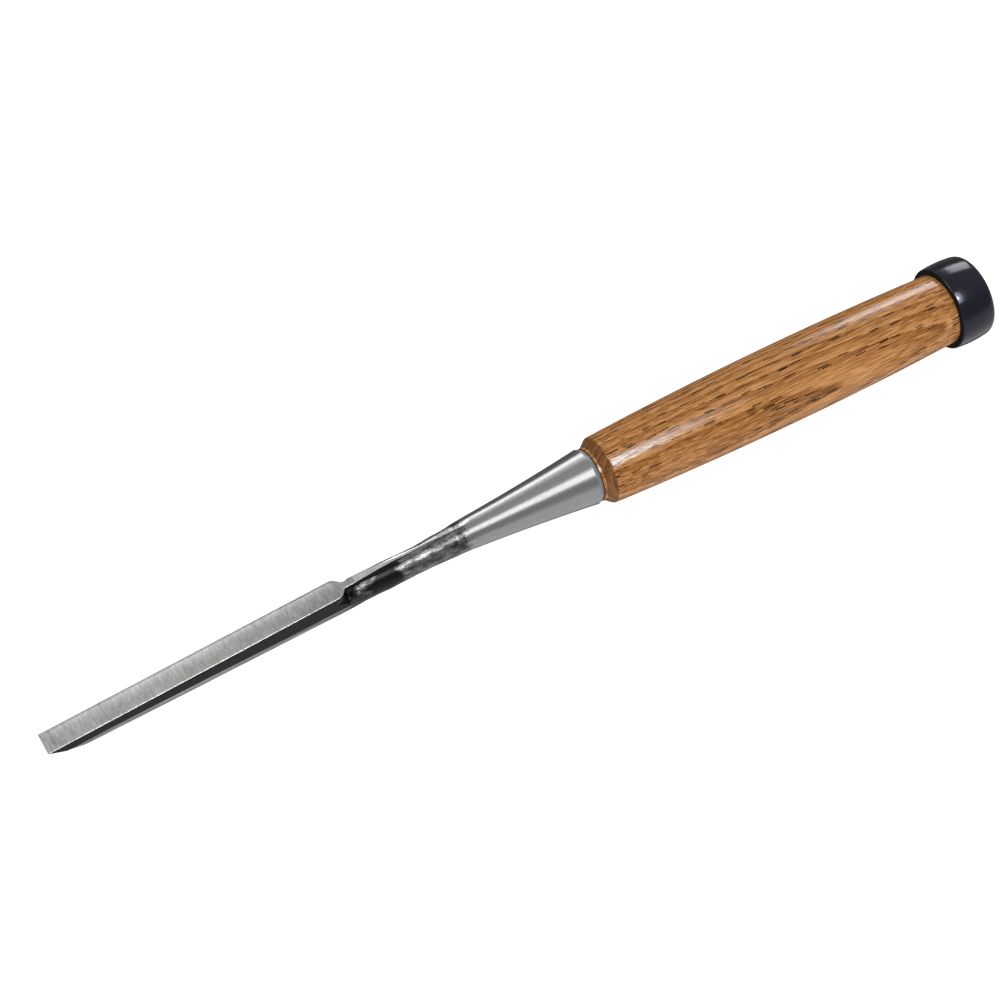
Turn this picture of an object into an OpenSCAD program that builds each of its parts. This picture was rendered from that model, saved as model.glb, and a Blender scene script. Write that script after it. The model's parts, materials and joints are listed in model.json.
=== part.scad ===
// Struck timber chisel with a laminated blade, a steel ferrule, an oak handle and a hooped end.
// Millimetres. The chisel lies with its flat back up: it rests on the heel of its bevel and on its hoop.
// +X runs from the cutting edge to the struck end, and +Z is up.

/* [Blade] */
// Width of the blade at the cutting edge
edge_w = 9; // [6:0.5:15]
// Width of the blade at its shoulder
shoulder_w = 8.5; // [6.5:0.5:14]
// Length of the flat back, from the cutting edge to the end of the shoulder
back_len = 114; // [70:1:150]
// Thickness of the blade at the heel of the bevel
heel_t = 7.4; // [5:0.1:9]
// Thickness of the blade at its shoulder
shoulder_t = 11.3; // [9:0.1:13]
// Angle between the flat back and the bevel
bevel_angle = 30; // [25:1:38]
// Depth of the two facets along the front face
facet_depth = 4.1; // [2:0.1:4.8]
// How far each facet narrows the front face
facet_inset = 1.28; // [0.4:0.02:2]

/* [Flat back] */
// Thickness of the hard steel layer
steel_t = 1.8; // [1.2:0.1:2]
// Width of the flat land beside the hollow
side_land = 0.75; // [0.5:0.05:1.2]
// Length of the flat land between the edge and the hollow
edge_land = 2.6; // [1.5:0.1:6]
// Length of the flat land between the hollow and the shoulder
rear_land = 1.6; // [1.2:0.1:4]
// Depth of the hollow
hollow_depth = 0.35; // [0.2:0.05:0.6]
// Radius of the two shoulder corners
shoulder_r = 3.5; // [2:0.1:4]
// Radius where the shoulder runs into the strip on the neck
strip_fillet_r = 1.2; // [0.5:0.1:1.5]
// Angle by which each shoulder corner turns in
shoulder_turn = 50; // [40:1:60]
// Width of the ground strip on top of the neck
strip_w = 2.86; // [2:0.02:3]
// Length of the ground strip beyond the shoulder
strip_len = 3.5; // [2:0.1:8]

/* [Neck] */
// Distance along the handle's axis from the blade's shoulder to the ferrule
neck_len = 49.5; // [44:0.5:70]
// Diameter of the neck at its thinnest
neck_d = 9.2; // [8.6:0.1:10]
// Length of the flare that ends at the ferrule
flare_len = 32.5; // [20:0.5:36]
// Length of the collar that the ferrule seats on, where the neck bends down
collar_len = 2; // [1:0.5:6]
// Height of the flat back above the handle's axis, at the shoulder
back_rise = 4.35; // [3.5:0.05:5.5]
// Slope of the flat back against the handle's axis
back_tilt = 4.58; // [3:0.02:6]
// Width of the strip's ridge where it ends
ridge_end_w = 0.6; // [0.4:0.1:2]
// Width of the ridge at its foot, inside the neck
ridge_foot_w = 6; // [4:0.1:7]
// Length over which the front face runs out into the neck
run_out = 14; // [8:0.5:18]

/* [Tang] */
// Side of the square tang at the ferrule
tang_root = 5; // [4:0.1:5.6]
// Side of the square tang at its tip
tang_tip = 2.6; // [2:0.1:3.5]
// Length of the tang behind the ferrule's small end
tang_len = 84; // [60:1:110]

/* [Ferrule] */
// Outer diameter of the small end
ferrule_small_d = 12; // [11:0.1:13.5]
// Outer diameter of the big end, before its chamfer
ferrule_big_d = 21.1; // [20:0.1:23]
// Length of the ferrule
ferrule_len = 48.8; // [36:0.2:60]
// How far the outside is hollowed below a straight cone
ferrule_sag = 0.31; // [0.1:0.01:0.5]
// Length of the chamfer at the big end
mouth_chamfer_len = 1.8; // [0.8:0.1:3]
// Depth of the chamfer at the big end
mouth_chamfer_in = 0.95; // [0.4:0.05:1.2]
// Wall of the cone at the small end
ferrule_wall = 1.4; // [1.2:0.1:1.8]
// Width of the plain ring at the mouth
mouth_ring = 0.6; // [0.4:0.05:1]
// Thickness of the wall that the tang passes through
end_wall = 3; // [2:0.1:5]

/* [Handle] */
// Empty length between the nose and the ferrule's end wall
nose_gap = 3; // [1:0.5:8]
// How far the narrow land next to the ferrule stands out beyond the ferrule's mouth
land_lip = 0.6; // [0.2:0.1:1.2]
// Length of the narrow land next to the ferrule
land_len = 1; // [0.4:0.1:3]
// Length of the front chamfer
chamfer_len = 3.2; // [1.5:0.1:5]
// Diameter at the front edge, behind the chamfer
front_d = 25.4; // [23:0.1:27]
// Diameter at the belly
belly_d = 29.76; // [28:0.02:31]
// Distance from the ferrule to the belly
belly_back = 90.7; // [60:0.5:110]
// How far the wood stands out beyond the hoop's bore, where the hoop begins
stop_lip = 0.37; // [0.1:0.01:0.8]
// Distance from the ferrule to the hoop
hoop_back = 151.7; // [125:0.5:180]
// How far the wood stands out of the hoop
end_proud = 0.5; // [0.2:0.1:1]
// Size of the chamfer round the struck end
end_chamfer = 0.4; // [0.2:0.1:0.8]
// Depth of the mortise beyond the tang's tip
mortise_spare = 2; // [0.5:0.5:6]

/* [Hoop] */
// Largest outer diameter
hoop_d = 32.7; // [32:0.1:36]
// Outer diameter at the front edge
hoop_front_d = 31.8; // [30:0.1:31.9]
// Diameter of the bore
hoop_bore_d = 26.6; // [25:0.1:26.8]
// Length of the hoop
hoop_len = 15; // [12:0.5:18]
// Distance from the front edge to the largest diameter
crown_back = 6.5; // [5:0.1:9]
// Radius of the rear outer corner
hoop_corner_r = 2.1; // [1:0.1:2.1]
// Radius of the front outer corner
hoop_front_r = 0.5; // [0.1:0.05:0.8]

/* [Fits] */
// Clearance of the tang, the nose and the hoop's seat
fit_gap = 0.05; // [0.02:0.01:0.1]

/* [Hidden] */
$fn = 96;
arc_steps = 12;
// Spare reach of cutting and joining shapes
reach = 1;
// Thickness of the slices that a tapering shape is drawn over
slice_t = 0.1;

// Points along a circle's arc
function arc(centre, r, from, to) =
    [for (i = [0 : arc_steps]) let (a = from + (to - from) * i / arc_steps) centre + r * [cos(a), sin(a)]];

// Radius of the arc that leaves a level line and moves off it by rise over a run
function tangent_radius(run, rise) = (run * run + rise * rise) / (2 * rise);

// Height of that arc above its level line
function tangent_height(x, run, rise) =
    let (r = tangent_radius(run, rise)) r - sqrt(r * r - x * x);

// A point of the blade's own frame, seen in the tool's frame.
// The blade's frame starts at the cutting edge, with its X along the flat back and its Z out of it.
function from_blade(x, z) =
    [-neck_len + (x - back_len) * cos(back_tilt) - z * sin(back_tilt),
     back_rise + (x - back_len) * sin(back_tilt) + z * cos(back_tilt)];

// A point of the tool's frame, seen in the blade's
function to_blade(x, z) =
    let (run = x + neck_len)
    let (rise = z - back_rise)
    [back_len + run * cos(back_tilt) + rise * sin(back_tilt), rise * cos(back_tilt) - run * sin(back_tilt)];

// Bevel and front face, in the blade's frame
heel_x = heel_t / tan(bevel_angle);
front_slope = (shoulder_t - heel_t) / (back_len - heel_x);

// Shoulder corner, in the blade's plan
corner_drop = (shoulder_w - strip_w) / 2;
turned_drop = (shoulder_r + strip_fillet_r) * (1 - cos(shoulder_turn));
corner_len = (shoulder_r + strip_fillet_r) * sin(shoulder_turn)
    + (corner_drop - turned_drop) / tan(shoulder_turn);
strip_end = back_len + strip_len;

// Hollow of the flat back
hollow_half = min(edge_w, shoulder_w) / 2 - side_land;
hollow_r = tangent_radius(hollow_half, hollow_depth);
hollow_from = edge_land + hollow_half;
hollow_to = back_len - rear_land - hollow_half;

// Neck's axis, from the blade's shoulder to the bend on the handle's axis.
// Its root is sunk a little below the blade's sides and front face, and its end into the collar.
root_sink = 0.1;
collar_lap = 0.4;
neck_r = neck_d / 2;
neck_root_r = shoulder_w / 2 - root_sink;
neck_depth = shoulder_t - root_sink - neck_root_r;
neck_start = from_blade(back_len, -neck_depth);
neck_run = -collar_len - neck_start[0];
neck_tilt = atan2(-neck_start[1], neck_run);
neck_axis_len = norm([neck_run, neck_start[1]]);
flare_rise = ferrule_small_d / 2 - neck_r;
// The ridge ends on the collar's rim
ridge_end = to_blade(-collar_len, ferrule_small_d / 2);

// Ferrule
ferrule_small_r = ferrule_small_d / 2;
ferrule_big_r = ferrule_big_d / 2;
flank_len = ferrule_len - mouth_chamfer_len;
flank_rise = ferrule_big_r - ferrule_small_r;
mouth_r = ferrule_big_r - mouth_chamfer_in;
bore_mouth_r = mouth_r - mouth_ring;
bore_end_r = flank_r(end_wall) - ferrule_wall;
tang_hole_r = tang_root / sqrt(2) + fit_gap;

// Radius of the ferrule's hollowed outside
function flank_r(x) =
    let (share = x / flank_len)
    ferrule_small_r + flank_rise * share - 4 * ferrule_sag * share * (1 - share);

// Radius of the ferrule's conical bore
function bore_r(x) = bore_end_r + (bore_mouth_r - bore_end_r) * (x - end_wall) / (ferrule_len - end_wall);

// Handle, along the tool's axis
land_r = mouth_r + land_lip;
nose_x = end_wall + nose_gap;
seat_x = ferrule_len + fit_gap;
front_x = seat_x + land_len + chamfer_len;
belly_x = ferrule_len + belly_back;
hoop_x = ferrule_len + hoop_back;
hoop_seat_r = hoop_bore_d / 2 - fit_gap;
hoop_stop_r = hoop_bore_d / 2 + stop_lip;
end_x = hoop_x + hoop_len + end_proud;
end_r = hoop_seat_r - end_chamfer;

// Hoop
hoop_r = hoop_d / 2;
crown_r = tangent_radius(crown_back, hoop_r - hoop_front_d / 2);
crown_x = hoop_x + crown_back;
hoop_end = hoop_x + hoop_len;
hoop_end_ring = 0.1;

// How far the crown has fallen at a place along the hoop
function crown_drop(x) = crown_r - sqrt(pow(crown_r, 2) - pow(x - crown_x, 2));

// Rest: a level line that touches the heel and the underside of the hoop's crown
heel = from_blade(heel_x, -heel_t);
crown_centre = [crown_x, crown_r - hoop_r];
heel_to_crown = crown_centre - heel;
rest_tilt = asin(crown_r / norm(heel_to_crown)) - atan2(heel_to_crown[1], heel_to_crown[0]);
edge = from_blade(0, 0);
lowest = heel[0] * sin(rest_tilt) + heel[1] * cos(rest_tilt);
first_x = edge[0] * cos(rest_tilt) - edge[1] * sin(rest_tilt);
last_x = end_x * cos(rest_tilt) + end_r * sin(rest_tilt);

// Lays the tool down, with the origin under the middle of its box
module laid_down() {
    translate([-(first_x + last_x) / 2, 0, -lowest]) rotate([0, -rest_tilt, 0]) children();
}

// Moves a shape from the blade's frame to the tool's
module on_blade() {
    translate([-neck_len, 0, back_rise]) rotate([0, -back_tilt, 0]) translate([-back_len, 0, 0]) children();
}

// Turns a profile of [distance along the axis, radius] points round the tool's axis
module turned(profile) {
    rotate([0, 90, 0]) rotate_extrude() polygon([for (p = profile) [p[1], p[0]]]);
}

// Pulls an outline of [x, z] points out to both sides of the middle plane
module pulled(outline, width) {
    translate([0, width / 2, 0]) rotate([90, 0, 0]) linear_extrude(width) polygon(outline);
}

// Square bar along the axis that narrows from root to tip, grown by gap on each side
module tapered_square(root, tip, length, gap, spare) {
    slope = (tip - root) / 2 / length;
    half_start = root / 2 + gap - slope * reach;
    half_end = tip / 2 + gap + slope * spare;
    far = length + spare;
    outline = [[-reach, -half_start], [far, -half_end], [far, half_end], [-reach, half_start]];
    intersection() {
        pulled(outline, root + 2 * reach);
        rotate([90, 0, 0]) pulled(outline, root + 2 * reach);
    }
}

// Half of the flat back's outline, from the edge to the end of the strip
function back_outline() =
    let (start = back_len - corner_len)
    let (half = shoulder_w / 2)
    concat(
        [[0, edge_w / 2]],
        arc([start, half - shoulder_r], shoulder_r, 90, 90 - shoulder_turn),
        arc([back_len, strip_w / 2 + strip_fillet_r], strip_fillet_r, 270 - shoulder_turn, 270),
        [[strip_end, strip_w / 2]]);

// Blade without neck, in the blade's frame: back, bevel, sides, facets and shoulder
module blade_prism() {
    back = back_outline();
    mirrored = [for (i = [len(back) - 1 : -1 : 0]) [back[i][0], -back[i][1]]];
    depth = shoulder_t + reach;
    wide = max(edge_w, shoulder_w) + 2 * reach;
    sunk = neck_root_r / 2;
    far = back_len + run_out;
    root_half = shoulder_w / 2;
    side = [[0, 0], [strip_end, 0], [strip_end, -neck_depth], [far, -neck_depth], [far, -neck_depth - sunk],
            [back_len, -shoulder_t], [heel_x, -heel_t]];
    intersection() {
        pulled(side, wide);
        union() {
            translate([0, 0, -depth]) linear_extrude(depth + reach) polygon(concat(back, mirrored));
            translate([0, 0, -depth]) linear_extrude(depth - neck_depth)
                polygon([[0, -edge_w / 2], [back_len, -root_half], [far, -root_half],
                         [far, root_half], [back_len, root_half], [0, edge_w / 2]]);
        }
        facet_section();
    }
}

// Long bar whose lower corners are cut away along the front face, in the blade's frame
module facet_section() {
    half = max(edge_w, shoulder_w) / 2;
    low = -facet_depth;
    high = shoulder_t + facet_depth;
    slope_angle = atan(front_slope);
    length = back_len + run_out + 2 * shoulder_t;
    section = [[-half, high], [-half, low + facet_depth], [-half + facet_inset, low],
               [half - facet_inset, low], [half, low + facet_depth], [half, high]];
    translate([heel_x, 0, facet_depth - heel_t]) rotate([0, slope_angle, 0])
        translate([-shoulder_t * 2, 0, 0]) rotate([90, 0, 90]) linear_extrude(length) polygon(section);
}

// Slice of the ridge, in the blade's frame
module ridge_slice(x, length, half, top, foot, base) {
    translate([x, 0, 0]) rotate([90, 0, 90]) linear_extrude(length)
        polygon([[-half, top], [half, top], [foot, base], [-foot, base]]);
}

// Ridge that carries the strip on along the neck, in the blade's frame.
// Its top leaves the plane of the flat back slowly and bends down to the collar's rim.
module ridge() {
    run = ridge_end[0] - strip_end;
    hull() {
        ridge_slice(back_len, strip_len, strip_w / 2, 0, ridge_foot_w / 2, -neck_depth);
        for (i = [1 : arc_steps]) {
            share = i / arc_steps;
            x = strip_end + run * share;
            half = (ridge_end_w + (strip_w - ridge_end_w) * pow(1 - share, 2)) / 2;
            axis_depth = neck_depth + (x - back_len) * tan(back_tilt - neck_tilt);
            ridge_slice(x - slice_t, slice_t, half, ridge_end[1] * pow(share, 2), half, -axis_depth);
        }
    }
}

// Round neck with its flare and its collar, in the tool's frame
module neck() {
    lead = neck_axis_len + collar_len;
    root_x = -lead - neck_root_r;
    flare_run = flare_len - collar_len + collar_lap;
    flare_x = [for (i = [0 : arc_steps]) flare_run * i / arc_steps];
    flare = [for (x = flare_x) [x - flare_len, neck_r + tangent_height(x, flare_len, flare_rise)]];
    translate([-collar_len, 0, 0]) rotate([0, -neck_tilt, 0]) translate([collar_len, 0, 0])
        turned(concat([[root_x, 0], [root_x, neck_root_r], [-lead, neck_root_r]],
                      flare,
                      [[collar_lap - collar_len, 0]]));
    turned([[-collar_len, 0], [-collar_len, ferrule_small_r], [0, ferrule_small_r], [0, 0]]);
}

// Everything that is forged in one: blade, ridge, neck and tang
module forging() {
    on_blade() blade_prism();
    on_blade() ridge();
    neck();
    tapered_square(tang_root, tang_tip, tang_len, 0, 0);
}

// The room of the hard steel layer, in the blade's frame
module steel_room(spare) {
    wide = 2 * max(edge_w, shoulder_w);
    translate([-reach, -wide / 2, -steel_t]) cube([strip_end + reach, wide, steel_t + spare]);
}

// The hollow of the flat back, in the blade's frame: a shallow trough with round ends
module hollow() {
    end_turn = asin((hollow_half + reach) / hollow_r);
    front = arc([hollow_from, 0], hollow_r, 90 + end_turn, 90);
    rear = arc([hollow_to, 0], hollow_r, 90, 90 - end_turn);
    first = [front[0][0], 0];
    last = [rear[arc_steps][0], 0];
    translate([0, 0, hollow_r - hollow_depth]) rotate([180, 0, 0])
        turned(concat([first], front, rear, [last]));
}

// Soft-iron body of the blade, with neck, shoulder and tang
module blade() {
    color("#3a3a3c") laid_down() difference() {
        forging();
        on_blade() steel_room(reach);
    }
}

// Hard steel layer with the cutting edge and the hollow back
module edge_steel() {
    color("#b4b4b2") laid_down() on_blade() difference() {
        intersection() {
            blade_prism();
            steel_room(reach);
        }
        hollow();
    }
}

// Hollow steel cone between the neck's shoulder and the handle
module ferrule() {
    flank_x = [for (i = [0 : arc_steps]) flank_len * i / arc_steps];
    color("#9a9c9d") laid_down() turned(concat(
        [[0, tang_hole_r]],
        [for (x = flank_x) [x, flank_r(x)]],
        [[ferrule_len, mouth_r], [ferrule_len, bore_mouth_r],
         [end_wall, bore_end_r], [end_wall, tang_hole_r]]));
}

// Oak handle with its nose, chamfer, belly, hoop seat and tang mortise
module handle() {
    front_run = belly_x - front_x;
    rear_run = hoop_x - belly_x;
    front_fall = (belly_d - front_d) / 2;
    rear_fall = belly_d / 2 - hoop_stop_r;
    front_belly = [for (i = [arc_steps : -1 : 0]) let (x = front_run * i / arc_steps)
        [belly_x - x, belly_d / 2 - tangent_height(x, front_run, front_fall)]];
    rear_belly = [for (i = [1 : arc_steps]) let (x = rear_run * i / arc_steps)
        [belly_x + x, belly_d / 2 - tangent_height(x, rear_run, rear_fall)]];
    color("#b37a44") laid_down() difference() {
        turned(concat(
            [[nose_x, 0], [nose_x, bore_r(nose_x) - fit_gap], [seat_x, bore_r(ferrule_len) - fit_gap],
             [seat_x, land_r], [seat_x + land_len, land_r]],
            front_belly,
            rear_belly,
            [[hoop_x, hoop_seat_r], [end_x - end_chamfer, hoop_seat_r], [end_x, end_r], [end_x, 0]]));
        tapered_square(tang_root, tang_tip, tang_len, fit_gap, mortise_spare);
    }
}

// Steel ring with a crowned outside, driven onto the struck end
module hoop() {
    bore = hoop_bore_d / 2;
    end_wall_left = hoop_r - crown_drop(hoop_end) - bore - hoop_end_ring;
    corner_r = min(hoop_corner_r, end_wall_left);
    rear_x = hoop_end - corner_r;
    rear_r = hoop_r - crown_drop(rear_x) - corner_r;
    front_r = hoop_front_d / 2 - hoop_front_r;
    crown_start = hoop_x + hoop_front_r;
    crown_run = rear_x - crown_start;
    crown = [for (i = [1 : arc_steps])
        let (x = crown_start + crown_run * i / arc_steps) [x, hoop_r - crown_drop(x)]];
    color("#22242a") laid_down() turned(concat(
        [[hoop_x, bore]],
        arc([crown_start, front_r], hoop_front_r, 180, 90),
        crown,
        arc([rear_x, rear_r], corner_r, 90, 0),
        [[hoop_end, bore]]));
}

blade();
edge_steel();
ferrule();
handle();
hoop();
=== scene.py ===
import json
import math

import bmesh
import bpy
from mathutils import Matrix, Vector, noise


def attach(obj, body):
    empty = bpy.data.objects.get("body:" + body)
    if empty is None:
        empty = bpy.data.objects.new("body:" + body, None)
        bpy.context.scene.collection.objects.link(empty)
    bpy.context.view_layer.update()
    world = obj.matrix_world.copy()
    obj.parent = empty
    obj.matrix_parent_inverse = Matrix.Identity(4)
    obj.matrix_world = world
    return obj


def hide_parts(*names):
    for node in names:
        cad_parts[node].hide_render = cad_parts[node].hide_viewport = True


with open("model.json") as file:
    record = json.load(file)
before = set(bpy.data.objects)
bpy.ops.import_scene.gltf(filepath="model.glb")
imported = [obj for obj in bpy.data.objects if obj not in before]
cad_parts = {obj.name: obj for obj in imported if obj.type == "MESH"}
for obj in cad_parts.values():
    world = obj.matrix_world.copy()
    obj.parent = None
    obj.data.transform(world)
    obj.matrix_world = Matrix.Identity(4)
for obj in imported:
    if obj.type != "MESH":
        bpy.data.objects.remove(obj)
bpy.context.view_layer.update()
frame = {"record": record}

# Struck timber chisel, dressed for looks: forged blade, ground edge steel, ferrule, oak handle, hoop.
# Sizes are in millimetres, as in the solid model. Points are worked out in the tool's frame: X runs along
# the handle's axis from the ferrule's small end to the struck end, and Z is up.
MM = 0.001

# Blade
EDGE_W = 9.0
SHOULDER_W = 8.5
BACK_LEN = 114.0
HEEL_T = 7.4
SHOULDER_T = 11.3
FACET_DEPTH = 4.1
FACET_INSET = 1.28

# Scoop behind the flat back, and the walls beside it
SCOOP_LEAD = 1.5
SCOOP_DEPTH = 2.0
WALL_DEPTH = 3.0
WALL_RISE = 1.0
SIDE_DROP = 0.6
BENT_SIDE_DROP = 1.2

# Flat back
STEEL_T = 1.8
SIDE_LAND = 0.75
EDGE_LAND = 2.6
REAR_LAND = 1.6
HOLLOW_DEPTH = 0.35
SHOULDER_R = 3.5
STRIP_FILLET_R = 1.2
SHOULDER_TURN = math.radians(50)
STRIP_W = 2.86
STRIP_LEN = 3.5
BACK_EDGE_R = 0.3
EDGE_ROUND_SHARE = 0.4
HOLLOW_SHARE = 0.9

# Neck
NECK_ROOT_R = 4.15
NECK_R = 4.6
NECK_DEPTH = 7.05
FLARE_LEN = 32.5
BEND_BACK = 2.0
NECK_LEAD = 2.0
RUN_OUT = 16.0
CREST_SWELL = 1.4
CREST_FULLNESS = 0.6
CREST_LEN = 26.0
HAMMER_MARK = 5.0
HAMMER_DEPTH = 0.14
HAMMER_FADE = (-8.0, -1.0)

# Ridge along the neck; shares are of its length
RIDGE_LEN = 44.0
RIDGE_END_W = 0.3
RIDGE_FOOT_W = 3.2
RIDGE_LEAN = 0.45
LEAN_SHARE = 0.3
FOOT_BLEND = 2.0
CREST_ROUND = 0.25
CREST_SHARES = (0.2, 0.5)

# Tang
TANG_ROOT = 5.0
TANG_TIP = 2.6
TANG_LEN = 84.0

# Ferrule
FERRULE_SMALL_R = 6.0
FERRULE_BIG_R = 10.55
FERRULE_LEN = 48.8
FERRULE_SAG = 0.31
MOUTH_CHAMFER_LEN = 1.8
MOUTH_CHAMFER_IN = 0.95
FERRULE_WALL = 1.4
MOUTH_RING = 0.6
END_WALL = 3.0
SMALL_END_ROUND = 0.12
FLANK_ROUND = 0.1
MOUTH_ROUND = 0.15
BORE_ROUND = 0.1

# Handle
NOSE_GAP = 3.0
LAND_LIP = 0.6
LAND_LEN = 1.0
CHAMFER_LEN = 3.2
FRONT_R = 12.7
BELLY_R = 14.88
BELLY_BACK = 90.7
STOP_LIP = 0.37
HOOP_BACK = 151.7
END_PROUD = 0.5
END_CHAMFER = 0.4
MORTISE_SPARE = 2.0
LAND_ROUND = 0.15
LAND_CREASE = 0.1
FRONT_ROUND = 0.3
STOP_ROUND = 0.2
END_CORE_R = 0.3

# Hoop
HOOP_R = 16.35
HOOP_FRONT_R = 15.9
HOOP_BORE_R = 13.3
HOOP_LEN = 15.0
CROWN_BACK = 6.5
HOOP_CORNER_R = 2.1
HOOP_FRONT_CORNER_R = 0.5

FIT_GAP = 0.05

# Fineness of the meshes: counts of steps, steps along the tool, and the lengths of the finest stretches
SIDES = 160
ARC_STEPS = 6
HOLLOW_STEPS = 18
LAND_STEPS = 5
FLOOR_STEPS = 6
CREST_STEPS = 4
WALL_STEPS = 6
TIP_STEP = 0.25
BEVEL_STEP = 0.4
BLADE_STEP = 1.5
SHOULDER_STEP = 0.15
SCOOP_STEP = 0.2
NECK_STEP = 0.5
FERRULE_STEP = 2.0
HANDLE_STEP = 4.0
HOOP_STEP = 0.6
FINE_TIP = 8.0
FINE_SHOULDER = 6.0
MERGE_DISTANCE = 0.0001

# Places along the axis
HOOP_X = FERRULE_LEN + HOOP_BACK
HOOP_END = HOOP_X + HOOP_LEN
END_X = HOOP_END + END_PROUD

# Places along the flat back and the ridge, from the cutting edge
STRIP_END = BACK_LEN + STRIP_LEN
RIDGE_END = STRIP_END + RIDGE_LEN


def frame_matrix(origin, x_axis, y_axis, z_axis):
    """Matrix of a frame, from its origin and its axes."""
    return Matrix.Translation(origin) @ Matrix((x_axis, y_axis, z_axis)).transposed().to_4x4()


# The tool's frame in the row frame, from the mount on the struck end
mounts = {mount["name"]: mount for mount in frame["record"]["mounts"]}
AXIS_X = Vector(mounts["struck_end"]["axis"]).normalized()
AXIS_Y = Vector((0, 1, 0))
AXIS_Z = AXIS_X.cross(AXIS_Y)
ORIGIN = Vector(mounts["struck_end"]["pos_m"]) / MM - AXIS_X * END_X
TO_ROW = Matrix.Scale(MM, 4) @ frame_matrix(ORIGIN, AXIS_X, AXIS_Y, AXIS_Z)


def in_tool(point):
    """Place along the tool's axis, and height above it, of a point of the row frame in metres."""
    offset = Vector(point) / MM - ORIGIN
    return offset.dot(AXIS_X), offset.dot(AXIS_Z)


def slope_of(mount):
    """Rise along the tool's axis of the flat face that a mount names."""
    normal = Vector(mounts[mount]["axis"])
    return -normal.dot(AXIS_X) / normal.dot(AXIS_Z)


# The flat back and the bevel as lines in the tool's middle plane
BACK_SLOPE = slope_of("flat_back")
BEVEL_SLOPE = slope_of("bevel")
BACK_COS = math.cos(math.atan(BACK_SLOPE))
BEVEL_ANGLE = math.atan(BACK_SLOPE) - math.atan(BEVEL_SLOPE)
LAND_X, LAND_Z = in_tool(mounts["flat_back"]["pos_m"])
EDGE_X = LAND_X - EDGE_LAND / 2 * BACK_COS
EDGE_Z = LAND_Z - EDGE_LAND / 2 * BACK_COS * BACK_SLOPE
HEEL_U = HEEL_T / math.tan(BEVEL_ANGLE)
WELD_U = STEEL_T / math.tan(BEVEL_ANGLE)


def along_back(x):
    """Distance from the cutting edge along the flat back."""
    return (x - EDGE_X) / BACK_COS


def axis_place(u):
    """Place on the tool's axis of a distance along the flat back."""
    return EDGE_X + u * BACK_COS


def back_z(x):
    """Height of the flat back."""
    return EDGE_Z + (x - EDGE_X) * BACK_SLOPE


def steel_floor_z(x):
    """Height of the weld under the hard steel."""
    return back_z(x) - STEEL_T / BACK_COS


def bevel_z(x):
    """Height of the bevel."""
    return EDGE_Z + (x - EDGE_X) * BEVEL_SLOPE


def front_z(x):
    """Height of the front face, which carries on under the neck."""
    share = (along_back(x) - HEEL_U) / (BACK_LEN - HEEL_U)
    return back_z(x) - (HEEL_T + (SHOULDER_T - HEEL_T) * share) / BACK_COS


def mixed(a, b, share):
    """A value on the way from one to another."""
    return a + (b - a) * share


def smooth(value, low, high):
    """Goes from 0 to 1 between two values, level at both."""
    share = min(1, max(0, (value - low) / (high - low)))
    return share * share * (3 - 2 * share)


def steps(start, stop, size):
    """Even steps of about one size, with both ends."""
    count = max(1, round((stop - start) / size))
    return [mixed(start, stop, i / count) for i in range(count + 1)]


def stretches(places, sizes):
    """Steps from place to place, with a size for each stretch."""
    stations = [places[0]]
    for start, stop, size in zip(places, places[1:], sizes):
        stations += steps(start, stop, size)[1:]
    return stations


def tangent_height(x, run, rise):
    """Height of an arc that leaves a level line and gains a rise over a run."""
    radius = (run * run + rise * rise) / (2 * rise)
    return radius - math.sqrt(radius * radius - x * x)


def rounded(points, radii):
    """An open path whose inner corners are replaced by curves that start a radius away from them."""
    path = [points[0]]
    for before, corner, after, radius in zip(points, points[1:], points[2:], radii):
        if radius == 0:
            path.append(corner)
            continue
        start = Vector(corner) + (Vector(before) - Vector(corner)).normalized() * radius
        end = Vector(corner) + (Vector(after) - Vector(corner)).normalized() * radius
        for i in range(ARC_STEPS + 1):
            t = i / ARC_STEPS
            path.append(tuple(start * (1 - t) ** 2 + Vector(corner) * 2 * t * (1 - t) + end * t * t))
    path.append(points[-1])
    return path


def turned(profile):
    """Rings of a profile of (place, radius) points round the tool's axis."""
    angles = [math.tau * i / SIDES for i in range(SIDES)]
    return [[(x, r * math.sin(a), r * math.cos(a)) for a in angles] for x, r in profile]


def squared(x, half, ring):
    """A square round the tool's axis, with a point for each point of a ring."""
    sizes = [max(abs(y), abs(z)) for _, y, z in ring]
    return [(x, y * half / size, z * half / size) for (_, y, z), size in zip(ring, sizes)]


def mirrored(section):
    """A closed loop from its right half, which starts and ends on the middle plane."""
    left = [(-y, z) for y, z in section[-2:0:-1]]
    return [(-y, z) for y, z in section[:1]] + section[1:] + left


def build(name, rings, closed, sharp_angle):
    """A piece from rings of points in the tool's frame, closed into a loop or capped at both ends."""
    mesh = bmesh.new()
    rows = [[mesh.verts.new(TO_ROW @ Vector(point)) for point in ring] for ring in rings]
    count = len(rings[0])
    pairs = list(zip(rows, rows[1:]))
    if closed:
        pairs.append((rows[-1], rows[0]))
    for first, second in pairs:
        for i in range(count):
            j = (i + 1) % count
            mesh.faces.new((first[i], first[j], second[j], second[i]))
    if not closed:
        mesh.faces.new(rows[0][::-1])
        mesh.faces.new(rows[-1])
    bmesh.ops.remove_doubles(mesh, verts=mesh.verts, dist=MERGE_DISTANCE * MM)
    bmesh.ops.recalc_face_normals(mesh, faces=mesh.faces)
    data = bpy.data.meshes.new(name)
    mesh.to_mesh(data)
    mesh.free()
    data.shade_smooth()
    data.set_sharp_from_angle(angle=math.radians(sharp_angle))
    piece = bpy.data.objects.new(name, data)
    bpy.context.scene.collection.objects.link(piece)
    return piece


# Flat back: outline, hollow and the hard steel layer

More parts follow.
